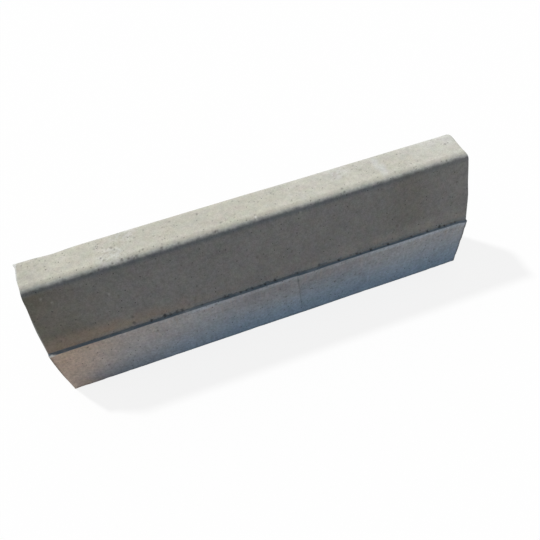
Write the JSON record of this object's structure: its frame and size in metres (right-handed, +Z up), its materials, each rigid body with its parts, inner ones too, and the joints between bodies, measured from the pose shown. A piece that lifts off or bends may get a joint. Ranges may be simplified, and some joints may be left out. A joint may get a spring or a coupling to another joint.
{
  "type": "concrete kerb stone",
  "caption": "Straight concrete kerb stone with a narrow rounded top, a battered road face, a small ledge and a vertical foot; it edges a road and holds back the footway.",
  "frame": {"origin": "centre of the base, on the floor that the kerb stands on", "axes": "+X along the kerb, -Y towards the road (batter and foot), +Y towards the footway (plain back), +Z up"},
  "size_m": [1, 0.15, 0.3],
  "materials": {
    "concrete": "matt weathered grey concrete with fine pores, a paler top and brown staining on the road side"
  },
  "bodies": {
    "root": {"kerb_stone": "concrete"}
  },
  "joints": []
}
